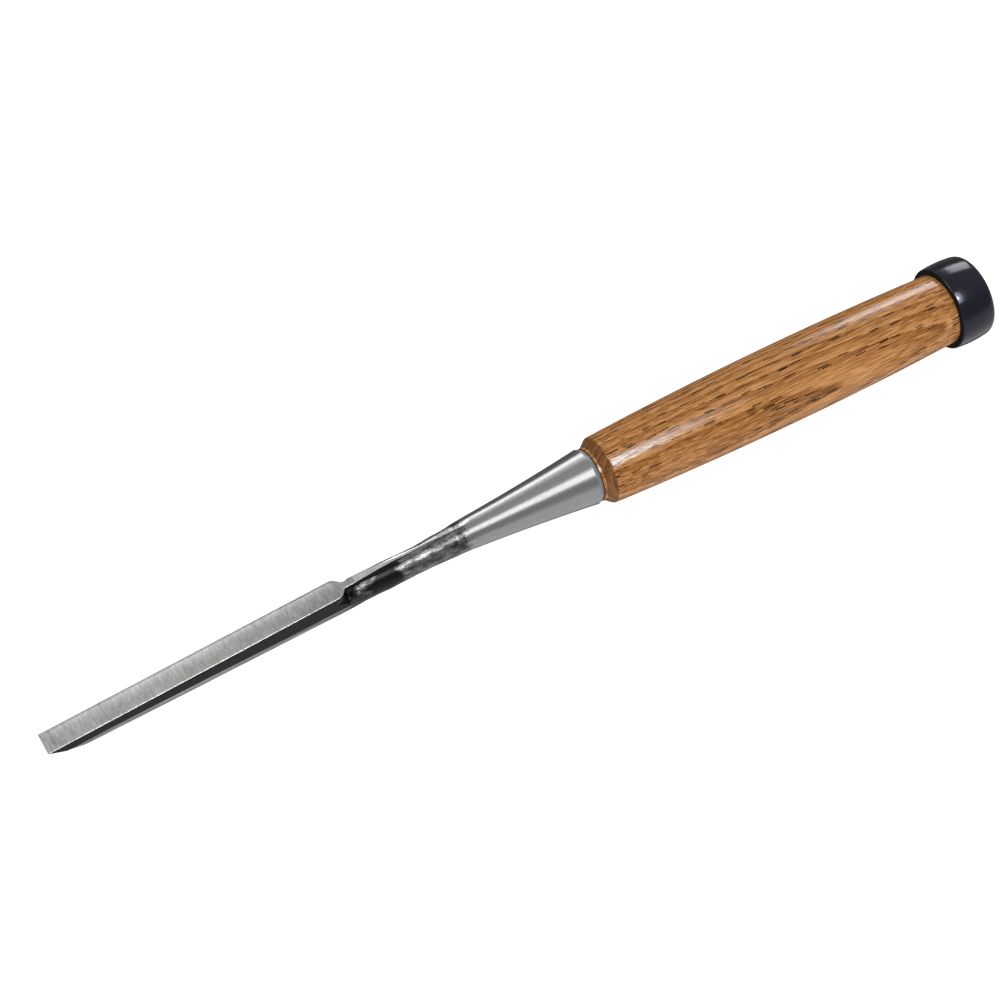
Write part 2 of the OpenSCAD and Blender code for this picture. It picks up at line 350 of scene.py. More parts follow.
CORNER_DROP = (SHOULDER_W - STRIP_W) / 2
TURNED_DROP = (SHOULDER_R + STRIP_FILLET_R) * (1 - math.cos(SHOULDER_TURN))
STRAIGHT_RUN = (CORNER_DROP - TURNED_DROP) / math.tan(SHOULDER_TURN)
CORNER_LEN = (SHOULDER_R + STRIP_FILLET_R) * math.sin(SHOULDER_TURN) + STRAIGHT_RUN
CORNER_START = BACK_LEN - CORNER_LEN
HOLLOW_HALF = SHOULDER_W / 2 - SIDE_LAND
HOLLOW_R = (HOLLOW_HALF ** 2 + HOLLOW_DEPTH ** 2) / (2 * HOLLOW_DEPTH)
HOLLOW_FROM = EDGE_LAND + HOLLOW_HALF
HOLLOW_TO = BACK_LEN - REAR_LAND - HOLLOW_HALF


def half_width(u):
    """Half of the flat back's width at a distance from the cutting edge."""
    half = SHOULDER_W / 2
    arc_end = CORNER_START + SHOULDER_R * math.sin(SHOULDER_TURN)
    fillet_start = BACK_LEN - STRIP_FILLET_R * math.sin(SHOULDER_TURN)
    if u <= CORNER_START:
        return mixed(EDGE_W / 2, half, u / CORNER_START)
    if u <= arc_end:
        return half - SHOULDER_R + math.sqrt(SHOULDER_R ** 2 - (u - CORNER_START) ** 2)
    if u <= fillet_start:
        arc_drop = SHOULDER_R * (1 - math.cos(SHOULDER_TURN))
        return half - arc_drop - (u - arc_end) * math.tan(SHOULDER_TURN)
    left = max(0, BACK_LEN - u)
    return STRIP_W / 2 + STRIP_FILLET_R - math.sqrt(STRIP_FILLET_R ** 2 - left ** 2)


def hollow_at(u, y):
    """Depth of the hollow: a long trough with round ends."""
    beyond = max(0, HOLLOW_FROM - u, u - HOLLOW_TO)
    reach_square = beyond ** 2 + y ** 2
    if reach_square >= HOLLOW_HALF ** 2:
        return 0
    return math.sqrt(HOLLOW_R ** 2 - reach_square) - (HOLLOW_R - HOLLOW_DEPTH)


def steel_section(x):
    """Right half of the steel layer's section, from the middle of the back round to the middle below."""
    u = along_back(x)
    half = half_width(u)
    floor_z = max(steel_floor_z(x), bevel_z(x))
    top_z = back_z(x)
    edge_r = min(BACK_EDGE_R, (top_z - floor_z) * EDGE_ROUND_SHARE)
    flat_half = half - edge_r
    hollow_half = min(HOLLOW_HALF, flat_half * HOLLOW_SHARE)
    across = [hollow_half * i / HOLLOW_STEPS for i in range(HOLLOW_STEPS)]
    across += steps(hollow_half, flat_half, (flat_half - hollow_half) / LAND_STEPS)
    section = [(y, top_z - hollow_at(u, y)) for y in across]
    for i in range(1, ARC_STEPS + 1):
        a = math.pi / 2 * i / ARC_STEPS
        section.append((flat_half + edge_r * math.sin(a), top_z - edge_r * (1 - math.cos(a))))
    section.append((half, mixed(top_z - edge_r, floor_z, 0.5)))
    section += [(y, floor_z) for y in steps(half, 0, -half / FLOOR_STEPS)]
    return section


def make_edge_steel():
    """Hard steel layer, with a section where its weld comes out on the bevel."""
    ends = (0, FINE_TIP, CORNER_START - FINE_SHOULDER, STRIP_END)
    stations = stretches(ends, (TIP_STEP, BLADE_STEP, SHOULDER_STEP))
    places = [axis_place(u) for u in sorted(stations + [WELD_U])]
    rings = [[(x, y, z) for y, z in mirrored(steel_section(x))] for x in places]
    return build("edge_steel_layer", rings, closed=False, sharp_angle=25)


# Forged body: blade below the steel layer, ridge, neck and tang

SCOOP_START = CORNER_START - SCOOP_LEAD
RUN_START = BACK_LEN - NECK_LEAD
NECK_TOP_X = axis_place(BACK_LEN)
NECK_START_Z = back_z(NECK_TOP_X) - NECK_DEPTH

# Angles from the top where the corners of the blade's section end on the neck's oval, and steps between them
OVAL_ANGLES = [math.radians(a) for a in (62, 118, 150, 180)]
SEGMENTS = (5, 12, 5, 8)


def neck_axis_z(x):
    """Height of the neck's middle line, which bends onto the handle's axis near the ferrule."""
    straight = NECK_START_Z * (x + BEND_BACK) / (NECK_TOP_X + BEND_BACK)
    return min(0, straight)


def neck_half(x):
    """Half width of the neck, with its flare."""
    if x < -FLARE_LEN:
        share = max(0, (x - NECK_TOP_X) / (-FLARE_LEN - NECK_TOP_X))
        return mixed(NECK_ROOT_R, NECK_R, share)
    return NECK_R + tangent_height(x + FLARE_LEN, FLARE_LEN, FERRULE_SMALL_R - NECK_R)


def oval_shape(x):
    """Half width, height above and below the middle, and fullness of the neck's section."""
    half = neck_half(x)
    root = 1 - smooth(along_back(x), STRIP_END, STRIP_END + CREST_LEN)
    return half, half + CREST_SWELL * root, half, 2 + CREST_FULLNESS * root


def oval_point(x, angle):
    """A point of the neck's section, by its angle from the top."""
    half, above, below, power = oval_shape(x)
    height = above if math.cos(angle) > 0 else below
    y = half * abs(math.sin(angle)) ** (2 / power)
    z = math.copysign(height * abs(math.cos(angle)) ** (2 / power), math.cos(angle))
    return y, neck_axis_z(x) + z


def oval_top(x, y):
    """Height of the neck's upper surface beside the middle plane."""
    half, above, _, power = oval_shape(x)
    return neck_axis_z(x) + above * max(0, 1 - (y / half) ** power) ** (1 / power)


RIDGE_DROP = back_z(axis_place(RIDGE_END)) - oval_top(axis_place(RIDGE_END), 0)


def strip_half(sunk):
    """Half width of the strip on the ridge, which narrows fast at first."""
    return mixed(RIDGE_END_W, STRIP_W, (1 - sunk) ** 2) / 2


def along_path(corners, counts):
    """Points along straight stretches, with a count for each; the first corner is left out."""
    points = []
    for first, second, count in zip(corners, corners[1:], counts):
        for i in range(1, count + 1):
            points.append((mixed(first[0], second[0], i / count), mixed(first[1], second[1], i / count)))
    return points


def scoop(u):
    """Depth, as a share, of the scoop behind the flat back: it deepens to a crease at the shoulder."""
    deeper = min(1, max(0, (u - SCOOP_START) / (BACK_LEN - SCOOP_START)))
    shallower = min(1, max(0, (u - BACK_LEN) / (STRIP_END - BACK_LEN)))
    return deeper ** 2 * (1 - shallower) ** 2


def blade_corners(x):
    """Foot of the wall under the steel, upper side edge, facet edges and middle of the front face."""
    u = along_back(x)
    half = mixed(EDGE_W, SHOULDER_W, min(1, u / CORNER_START)) / 2
    floor_z = max(front_z(x), bevel_z(x))
    facet_z = max(front_z(x) + FACET_DEPTH, bevel_z(x))
    inset = FACET_INSET * (facet_z - floor_z) / FACET_DEPTH
    bent = smooth(u, SCOOP_START, STRIP_END)
    foot_y = mixed(half, RIDGE_FOOT_W / 2, bent)
    foot_z = back_z(x) - WALL_DEPTH - SCOOP_DEPTH * scoop(u) + WALL_RISE * smooth(u, BACK_LEN, STRIP_END)
    side_z = foot_z - SIDE_DROP - BENT_SIDE_DROP * bent
    return [
        (foot_y, max(foot_z, floor_z)),
        (half, max(side_z, floor_z)),
        (half, facet_z),
        (half - inset, floor_z),
        (0, floor_z),
    ]


def body_section(x, on_ridge):
    """Right half of the forged body's section, from top to bottom."""
    u = along_back(x)
    corners = blade_corners(x)
    blend = smooth(u, RUN_START, RUN_START + RUN_OUT)
    if on_ridge:
        sunk = min(1, (u - STRIP_END) / RIDGE_LEN)
        ridge_half = strip_half(sunk)
        ridge_z = back_z(x) - RIDGE_DROP * sunk ** 2
        leaning = ridge_half + RIDGE_LEAN * max(0, ridge_z - oval_top(x, ridge_half))
        foot_y = mixed(RIDGE_FOOT_W / 2, leaning, smooth(sunk, 0, LEAN_SHARE))
        foot_z = mixed(corners[0][1], oval_top(x, foot_y), smooth(u, STRIP_END, STRIP_END + FOOT_BLEND))
        crown = CREST_ROUND * ridge_half * smooth(sunk, *CREST_SHARES)
    else:
        ridge_half = half_width(u)
        ridge_z = max(steel_floor_z(x), bevel_z(x))
        foot_y, foot_z = corners[0]
        crown = 0
    shares = [i / CREST_STEPS for i in range(CREST_STEPS + 1)]
    top = [(ridge_half * share, ridge_z - crown * share ** 2) for share in shares]
    upper = top + along_path([top[-1], (foot_y, min(foot_z, top[-1][1]))], (WALL_STEPS,))
    if u >= RIDGE_END:
        upper = [(y, oval_top(x, y)) for y, _ in upper]
    corners[0] = upper[-1]
    flat = along_path(corners, SEGMENTS)
    half, _, _, power = oval_shape(x)
    foot_angle = math.asin(min(1, upper[-1][0] / half) ** (power / 2))
    angles = along_path([(a, 0) for a in [foot_angle] + OVAL_ANGLES], SEGMENTS)
    oval = [oval_point(x, a) for a, _ in angles]
    lower = [(mixed(f[0], o[0], blend), mixed(f[1], o[1], blend)) for f, o in zip(flat, oval)]
    return hammered(x, upper, lower)


def hammered(x, upper, lower):
    """The section with the neck's uneven forged surface; the ground top and its edge stay flat."""
    u = along_back(x)
    depth = HAMMER_DEPTH * smooth(u, CORNER_START, STRIP_END) * (1 - smooth(x, *HAMMER_FADE))
    ground = CREST_STEPS + 2
    uneven = upper[:ground]
    for y, z in upper[ground:] + lower:
        out = Vector((y, z - neck_axis_z(x))).normalized()
        lift = depth * noise.noise(Vector((x, y, z)) / HAMMER_MARK)
        uneven.append((max(0, y + out.x * lift), z + out.y * lift))
    uneven[-1] = (0, uneven[-1][1])
    return uneven


def make_blade():
    """Forged body: the blade under the steel, the neck with its ridge, and the square tang."""
    stations = stretches((WELD_U, HEEL_U, SCOOP_START, STRIP_END), (BEVEL_STEP, BLADE_STEP, SCOOP_STEP))
    under_steel = [axis_place(u) for u in stations]
    behind = steps(axis_place(STRIP_END), 0, NECK_STEP)
    sections = [(x, body_section(x, False)) for x in under_steel]
    sections += [(x, body_section(x, True)) for x in behind]
    rings = [[(x, y, z) for y, z in mirrored(section)] for x, section in sections]
    for x, width in ((0, TANG_ROOT), (TANG_LEN, TANG_TIP)):
        rings.append(squared(x, width / 2, rings[-1]))
    return build("forged_blade", rings, closed=False, sharp_angle=14)


# Turned pieces

def flank_r(x):
    """Radius of the ferrule's hollowed outside."""
    share = x / (FERRULE_LEN - MOUTH_CHAMFER_LEN)
    return mixed(FERRULE_SMALL_R, FERRULE_BIG_R, share) - 4 * FERRULE_SAG * share * (1 - share)


MOUTH_R = FERRULE_BIG_R - MOUTH_CHAMFER_IN
BORE_MOUTH_R = MOUTH_R - MOUTH_RING
BORE_END_R = flank_r(END_WALL) - FERRULE_WALL
TANG_HOLE_R = TANG_ROOT / math.sqrt(2) + FIT_GAP


def bore_r(x):
    """Radius of the ferrule's conical bore."""
    return mixed(BORE_END_R, BORE_MOUTH_R, (x - END_WALL) / (FERRULE_LEN - END_WALL))


def make_ferrule():
    """Hollow cone, from the tang's hole along the outside and back through the bore."""
    flank = [(x, flank_r(x)) for x in steps(0, FERRULE_LEN - MOUTH_CHAMFER_LEN, FERRULE_STEP)]
    mouth = [(FERRULE_LEN, MOUTH_R), (FERRULE_LEN, BORE_MOUTH_R)]
    bore_end = [(END_WALL, BORE_END_R), (END_WALL, TANG_HOLE_R)]
    points = [(0, TANG_HOLE_R)] + flank + mouth + bore_end
    radii = [SMALL_END_ROUND] + [0] * (len(flank) - 2) + [FLANK_ROUND, MOUTH_ROUND, BORE_ROUND, 0]
    return build("ferrule_cone", turned(rounded(points, radii)), closed=True, sharp_angle=25)


def make_handle():
    """Turned handle, from the mortise's end out along the nose, the land and the belly to the struck end."""
    seat_x = FERRULE_LEN + FIT_GAP
    nose_x = END_WALL + NOSE_GAP
    land_r = MOUTH_R + LAND_LIP
    front_x = seat_x + LAND_LEN + CHAMFER_LEN
    belly_x = FERRULE_LEN + BELLY_BACK
    stop_r = HOOP_BORE_R + STOP_LIP
    seat_r = HOOP_BORE_R - FIT_GAP
    front = [(x, BELLY_R - tangent_height(belly_x - x, belly_x - front_x, BELLY_R - FRONT_R))
             for x in steps(front_x, belly_x, HANDLE_STEP)]
    rear = [(x, BELLY_R - tangent_height(x - belly_x, HOOP_X - belly_x, BELLY_R - stop_r))
            for x in steps(belly_x, HOOP_X, HANDLE_STEP)][1:]
    nose = [(nose_x, bore_r(nose_x) - FIT_GAP), (seat_x, bore_r(FERRULE_LEN) - FIT_GAP)]
    land = [(seat_x, land_r), (seat_x + LAND_LEN, land_r)]
    end = [(HOOP_X, seat_r), (END_X, seat_r), (END_X, END_CORE_R)]
    points = nose + land + front + rear + end
    radii = [0, LAND_ROUND, LAND_CREASE, FRONT_ROUND]
    radii += [0] * (len(front) + len(rear) - 2)
    radii += [STOP_ROUND, 0, END_CHAMFER]
    slope = (TANG_TIP - TANG_ROOT) / 2 / TANG_LEN
    circle = turned([(0, 1)])[0]
    ends = (TANG_LEN + MORTISE_SPARE, nose_x)
    mortise = [squared(x, TANG_ROOT / 2 + FIT_GAP + slope * x, circle) for x in ends]
    return build("oak_handle", mortise + turned(rounded(points, radii)), closed=False, sharp_angle=20)


def make_hoop():
    """Crowned ring; the crown's points next to its corners give way to their rounds."""
    rise = HOOP_R - HOOP_FRONT_R
    crown_r = (CROWN_BACK ** 2 + rise ** 2) / (2 * rise)
    crown = [(x, HOOP_R - crown_r + math.sqrt(crown_r ** 2 - (x - HOOP_X - CROWN_BACK) ** 2))
             for x in steps(HOOP_X, HOOP_END, HOOP_STEP)]
    points = [(HOOP_X, HOOP_BORE_R)] + crown[:1] + crown[2:-4] + crown[-1:] + [(HOOP_END, HOOP_BORE_R)]
    radii = [HOOP_FRONT_CORNER_R] + [0] * (len(points) - 4) + [HOOP_CORNER_R]
    return build("driven_hoop", turned(rounded(points, radii)), closed=True, sharp_angle=25)


# Materials

def add(tree, kind, inputs=None, **settings):
    """A new shader node; an input is a value or another node's output."""
    node = tree.nodes.new("ShaderNode" + kind)
    for name, value in settings.items():
        setattr(node, name, value)
    for key, value in (inputs or {}).items():
        if isinstance(value, bpy.types.NodeSocket):
            tree.links.new(value, node.inputs[key])
        else:
            node.inputs[key].default_value = value
    return node


def tool_place(tree):
    """Place in the tool's frame, in millimetres."""
    location, turn, size = TO_ROW.inverted().decompose()
    inputs = {
        "Vector": add(tree, "TexCoord").outputs["Object"],
        "Location": location,
        "Rotation": turn.to_euler(),
        "Scale": size,
    }
    return add(tree, "Mapping", inputs).outputs["Vector"]


def along_tool(tree, start, stop):
    """Goes from 0 to 1 between two places along the tool's axis."""
    place = add(tree, "SeparateXYZ", {"Vector": tool_place(tree)}).outputs["X"]
    return add(tree, "MapRange", {"Value": place, "From Min": start, "From Max": stop}).outputs[0]


def facing(tree, axis):
    """How far a surface faces along an axis of the row frame."""
    normal = add(tree, "TexCoord").outputs["Normal"]
    return add(tree, "SeparateXYZ", {"Vector": normal}).outputs[axis]


def noise_of(tree, size, detail=3, rough=0.55, distortion=0, place=None):
    """Even noise from 0 to 1 with features of a size in millimetres along each axis."""
    place = place or tool_place(tree)
    scaled = add(tree, "Mapping", {"Vector": place, "Scale": [1 / s for s in size]}).outputs["Vector"]
    inputs = {"Vector": scaled, "Scale": 1, "Detail": detail, "Roughness": rough, "Distortion": distortion}
    return add(tree, "TexNoise", inputs).outputs["Fac"]


def ramp(tree, value, stops):
    """Colours along a value; a stop is (value, grey) or (value, (red, green, blue))."""
    node = add(tree, "ValToRGB", {"Fac": value})
    elements = node.color_ramp.elements
    while len(elements) < len(stops):
        elements.new(0.5)
    for element, (place, colour) in zip(elements, stops):
        element.position = place
        element.color = (*colour, 1) if isinstance(colour, tuple) else (colour, colour, colour, 1)
    return node.outputs["Color"]


def blended(tree, share, first, second, mode="MIX"):
    """Mix of two colours; each is a colour or another node's output."""
    node = add(tree, "Mix", data_type="RGBA", blend_type=mode)
    for index, value in ((0, share), (6, first), (7, second)):
        if isinstance(value, bpy.types.NodeSocket):
            tree.links.new(value, node.inputs[index])
        elif index == 0:
            node.inputs[index].default_value = value
        else:
            node.inputs[index].default_value = (*value, 1)
    return node.outputs[2]


def darkened(tree, tone, share, pattern, stops):
    """A tone with a share of a pattern's greys laid over it."""
    return blended(tree, share, tone, ramp(tree, pattern, stops), "MULTIPLY")


def math_of(tree, operation, first, second=0.0, third=0.0):
    """Result of a sum on values or other nodes' outputs."""
    return add(tree, "Math", {0: first, 1: second, 2: third}, operation=operation).outputs[0]


def bumped(tree, height, strength, distance, normal=None):
    """Surface normal with a height pattern; the distance is in millimetres."""
    inputs = {"Height": height, "Strength": strength, "Distance": distance * MM}
    if normal:
        inputs["Normal"] = normal
    return add(tree, "Bump", inputs).outputs["Normal"]


def new_material(name, constants):
    """A material with a principled shader and its constant values."""
    material = bpy.data.materials.new(name)
    material.use_nodes = True
    shader = material.node_tree.nodes["Principled BSDF"]
    for key, value in constants.items():
        shader.inputs[key].default_value = value
    return material, material.node_tree, shader


def join(tree, shader, **outputs):
    """Links outputs to the shader's inputs; a name's underscores stand for spaces."""
    for name, output in outputs.items():
        tree.links.new(output, shader.inputs[name.replace("_", " ")])


# Places along the tool where the metal's finishes change
TURNED_FROM = -6.5
# The flat back's steel is made darker towards the shoulder between these two places.
REAR_DARKENING = (-110, -55)
NECK_BAND = (-50, -25)
SCALE_END = (2, -7)
FACET_SCALE = (axis_place(BACK_LEN - 4), axis_place(STRIP_END))
STRIP_SCALE = (axis_place(STRIP_END + 16), axis_place(STRIP_END + 27))

# Tones of the forge scale
DENSE_DARK = (0.008, 0.008, 0.009)
DENSE_LIGHT = (0.027, 0.027, 0.028)


def ground_steel():
    """Satin steel with fine grinding marks across it, darker towards the shoulder, and with painted shade
    where the hollow starts, on slopes that face the handle.
    """
    material, tree, shader = new_material("ground_steel", {"Metallic": 1.0})
    strokes = noise_of(tree, (0.9, 5, 5), 3, 0.65, 1.2)
    fine = noise_of(tree, (0.3, 3, 3), 2, 0.5, 0.5)
    patches = noise_of(tree, (7, 5, 5), 2, 0.5)
    tone = ramp(tree, patches, [(0.3, (0.73, 0.725, 0.715)), (0.7, (0.86, 0.855, 0.84))])
    tone = darkened(tree, tone, 0.8, strokes, [(0.35, 0.62), (0.65, 1.0)])
    tone = darkened(tree, tone, 0.8, fine, [(0.35, 0.7), (0.65, 1.0)])
    tone = darkened(tree, tone, 1.0, along_tool(tree, *REAR_DARKENING), [(0.0, 1.0), (1.0, 0.72)])
    # Painted shade: faces turned towards the handle, as at the start of the hollow, are darkened.
    painted_runout_shade = math_of(tree, "ADD", facing(tree, "X"), 0.5)
    tone = darkened(tree, tone, 1.0, painted_runout_shade, [(0.43, 1.0), (0.56, 0.7)])
    rough = ramp(tree, strokes, [(0.3, 0.36), (0.7, 0.29)])
    normal = bumped(tree, strokes, 0.5, 0.05, bumped(tree, fine, 0.3, 0.02))
    join(tree, shader, Base_Color=tone, Roughness=rough, Normal=normal)
    return material


def dense_scale():
    """Black forge scale on the blade's sides, its front and the walls of the ridge."""
    material, tree, shader = new_material("dense_scale", {"Metallic": 1.0})
    grit = noise_of(tree, (1.2, 0.5, 0.5), 3, 0.6)
    clouds = noise_of(tree, (9, 3, 3), 3, 0.6)
    tone = ramp(tree, grit, [(0.3, DENSE_DARK), (0.7, DENSE_LIGHT)])
    tone = darkened(tree, tone, 0.5, clouds, [(0.35, 0.6), (0.65, 1.0)])
    rough = ramp(tree, grit, [(0.3, 0.26), (0.7, 0.42)])
    join(tree, shader, Base_Color=tone, Roughness=rough, Normal=bumped(tree, grit, 0.35, 0.06))
    return material


def mottled_scale(tree):
    """Tone, blotches and grit of the neck's scale: burnished grey on both sides of a black band, and painted
    sheen that makes the upward faces lighter.
    """
    blotches = noise_of(tree, (4.5, 1.5, 1.5), 5, 0.7, 0.2)
    grit = noise_of(tree, (0.9, 0.45, 0.45), 3, 0.65)
    streaks = noise_of(tree, (7, 0.5, 0.5), 3, 0.6)
    black = ramp(tree, grit, [(0.3, DENSE_DARK), (0.7, DENSE_LIGHT)])
    grey = ramp(tree, blotches, [(0.36, (0.04, 0.04, 0.041)), (0.47, 0.16), (0.65, 0.36)])
    grey = darkened(tree, grey, 0.6, streaks, [(0.35, 0.45), (0.65, 1.0)])
    grey = darkened(tree, grey, 0.6, grit, [(0.35, 0.45), (0.65, 1.0)])
    # Painted sheen: the more a face turns upwards, the lighter and greyer its scale is made.
    painted_top_sheen = ramp(tree, facing(tree, "Z"), [(0.5, 0.0), (0.8, 0.5)])
    rubbed = ramp(tree, along_tool(tree, *NECK_BAND), [(0.34, 0.5), (0.5, 0.0), (0.72, 0.0), (0.9, 1.0)])
    wear_and_top_sheen = math_of(tree, "MULTIPLY_ADD", rubbed, 1.5, -1.1)
    wear_and_top_sheen = math_of(tree, "MULTIPLY_ADD", blotches, 1.2, wear_and_top_sheen)
    wear_and_top_sheen = math_of(tree, "ADD", wear_and_top_sheen, painted_top_sheen)
    return blended(tree, ramp(tree, wear_and_top_sheen, [(0.2, 0.0), (0.8, 1.0)]), black, grey), blotches, grit


def worn_and_sheened_scale():
    """Forge scale on the neck, worn and with painted sheen on its upward faces."""
    material, tree, shader = new_material("worn_and_sheened_scale", {"Metallic": 1.0})
    tone, blotches, grit = mottled_scale(tree)
    rough = ramp(tree, grit, [(0.3, 0.22), (0.7, 0.42)])
    normal = bumped(tree, grit, 0.45, 0.06, bumped(tree, blotches, 0.45, 0.2))
    join(tree, shader, Base_Color=tone, Roughness=rough, Normal=normal)
    return material


def filed_iron(name, bare, scale, sets_in, uneven):
    """Iron filed to a bare tone; a tone of scale sets in between two places along the tool."""
    material, tree, shader = new_material(name, {"Metallic": 1.0})
    scratches = noise_of(tree, (0.4, 3, 3), 4, 0.6, 0.3)
    patches = noise_of(tree, (5, 2, 2), 4, 0.6)
    strips = noise_of(tree, (22, 0.9, 0.9), 3, 0.6)
    tone = blended(tree, 1.0, ramp(tree, patches, [(0.3, 0.76), (0.7, 1.0)]), bare, "MULTIPLY")
    tone = darkened(tree, tone, 0.5, scratches, [(0.3, 0.65), (0.7, 1.0)])
    tone = darkened(tree, tone, uneven, strips, [(0.4, 0.12), (0.56, 1.0)])
    ragged = math_of(tree, "MULTIPLY_ADD", patches, 0.8, -0.4)
    scaly = math_of(tree, "ADD", along_tool(tree, *sets_in), ragged)
    tone = blended(tree, ramp(tree, scaly, [(0.3, 0.0), (0.7, 1.0)]), tone, scale)
    rough = ramp(tree, scratches, [(0.3, 0.4), (0.7, 0.3)])
    join(tree, shader, Base_Color=tone, Roughness=rough, Normal=bumped(tree, scratches, 0.3, 0.03))
    return material


def turned_steel():
    """Steel with fine turned lines that spread the light along the tool; the neck's scale ends on it."""
    constants = {"Metallic": 1.0, "Anisotropic": 0.95, "Anisotropic Rotation": 0.25}
    material, tree, shader = new_material("turned_steel", constants)
    lines = noise_of(tree, (0.3, 8, 8), 3, 0.6)
    streaks = noise_of(tree, (16, 0.3, 0.3), 3, 0.6)
    scale_tone, blotches, grit = mottled_scale(tree)
    ragged = math_of(tree, "ADD", blotches, math_of(tree, "MULTIPLY", grit, 0.6))
    ragged = math_of(tree, "MULTIPLY_ADD", ragged, 1.4, -1.12)
    scaly = math_of(tree, "ADD", along_tool(tree, *SCALE_END), ragged)
    tone = ramp(tree, streaks, [(0.3, (0.35, 0.353, 0.355)), (0.7, 0.42)])
    tone = blended(tree, ramp(tree, scaly, [(0.5, 0.0), (0.6, 1.0)]), tone, scale_tone)
    rough = ramp(tree, lines, [(0.3, 0.43), (0.7, 0.40)])
    normal = bumped(tree, streaks, 0.1, 0.02)
    tangent = add(tree, "Tangent", direction_type="RADIAL", axis="X").outputs["Tangent"]
    join(tree, shader, Base_Color=tone, Roughness=rough, Normal=normal, Tangent=tangent)
    return material


def mouth_steel():
    """Cool grey cut of the ferrule's mouth."""
    material, tree, shader = new_material("mouth_steel", {"Metallic": 0.4})
    lines = noise_of(tree, (0.3, 6, 6), 3, 0.6)
    tone = ramp(tree, lines, [(0.3, (0.22, 0.25, 0.275)), (0.7, (0.30, 0.335, 0.365))])
    rough = ramp(tree, lines, [(0.3, 0.38), (0.7, 0.3)])
    join(tree, shader, Base_Color=tone, Roughness=rough)
    return material


# Growth rings of the oak, and how far its bends, its fibres and the lean of its grain sway them
PITH = (48.0, -16.0)
RING_SPACING = 2.6
BEND_SWAY = 2.5
FIBRE_SWAY = 0.7
GRAIN_LEAN = 0.035

# Pores and vessels: length and width of their cells, and the reach in them where a dash fades and is gone
PORE_CELL = (8.0, 0.8)
PORE_REACH = (0.40, 0.43)
VESSEL_CELL = (14.0, 0.7)
VESSEL_REACH = (0.27, 0.37)
VESSEL_SHARE = 0.55

# How far the dashes' edges and sizes vary, the share of a ring with pores, and the draw a pore has to beat
RAGGED_SHARE = 0.2
VARIED_SHARE = 0.14
EARLY_WOOD = 0.4
PORE_CHANCE = 0.5

# Tones of the oak, and the level of its grain among them
GRAIN_LEVEL = -2.75
OAK_DARK = (0.14, 0.045, 0.009)
OAK_MIDDLE = (0.37, 0.151, 0.036)
OAK_LIGHT = (0.59, 0.305, 0.120)
VESSEL_TONE = (0.12, 0.036, 0.005)
PORE_TONE = (0.028, 0.008, 0.001)
END_GRAIN_SHADE = (0.5, 0.46, 0.44)


def round_tool(tree, cell):
    """Place on a turned surface as length along the tool and distance round it, counted in cells."""
    place = add(tree, "SeparateXYZ", {"Vector": tool_place(tree)})
    angle = math_of(tree, "ARCTAN2", place.outputs["Y"], place.outputs["Z"])
    length = math_of(tree, "DIVIDE", place.outputs["X"], cell[0])
    girth = math_of(tree, "MULTIPLY", angle, BELLY_R / cell[1])
    return add(tree, "CombineXYZ", {"X": length, "Y": girth}).outputs["Vector"]


def dashes(tree, cell, reach, ragged, shape):
    """Ragged dashes along the grain, one in a cell; also each cell's random number and middle."""
    cells = add(tree, "TexVoronoi", {"Vector": round_tool(tree, cell), "Scale": 1, "Randomness": 1},
                voronoi_dimensions="2D", distance=shape)
    drawn = add(tree, "SeparateColor", {"Color": cells.outputs["Color"]})
    distance = math_of(tree, "MULTIPLY_ADD", ragged, RAGGED_SHARE, cells.outputs["Distance"])
    distance = math_of(tree, "MULTIPLY_ADD", drawn.outputs["Green"], VARIED_SHARE, distance)
    middle = add(tree, "SeparateXYZ", {"Vector": cells.outputs["Position"]})
    length = math_of(tree, "MULTIPLY", middle.outputs["X"], cell[0])
    angle = math_of(tree, "MULTIPLY", middle.outputs["Y"], cell[1] / BELLY_R)
    across = math_of(tree, "MULTIPLY", math_of(tree, "SINE", angle), BELLY_R)
    upright = math_of(tree, "MULTIPLY", math_of(tree, "COSINE", angle), BELLY_R)
    place = add(tree, "CombineXYZ", {"X": length, "Y": across, "Z": upright}).outputs["Vector"]
    fades, gone = reach
    return ramp(tree, distance, [(fades, 1.0), (gone, 0.0)]), drawn.outputs["Red"], place


def growth_rings(tree, fibres, place):
    """Saw-shaped growth rings round a pith beside the handle, bent along the grain."""
    bend = noise_of(tree, (60, 12, 12), 2, place=place)
    place = add(tree, "SeparateXYZ", {"Vector": place})
    lean_y = math_of(tree, "MULTIPLY_ADD", place.outputs["X"], GRAIN_LEAN, place.outputs["Y"])
    across = math_of(tree, "SUBTRACT", lean_y, PITH[0])
    upright = math_of(tree, "SUBTRACT", place.outputs["Z"], PITH[1])
    square = math_of(tree, "MULTIPLY", upright, upright)
    square = math_of(tree, "MULTIPLY_ADD", across, across, square)
    swayed = math_of(tree, "MULTIPLY_ADD", fibres, FIBRE_SWAY, math_of(tree, "SQRT", square))
    swayed = math_of(tree, "MULTIPLY_ADD", bend, BEND_SWAY, swayed)
    return math_of(tree, "FRACT", math_of(tree, "DIVIDE", swayed, RING_SPACING))


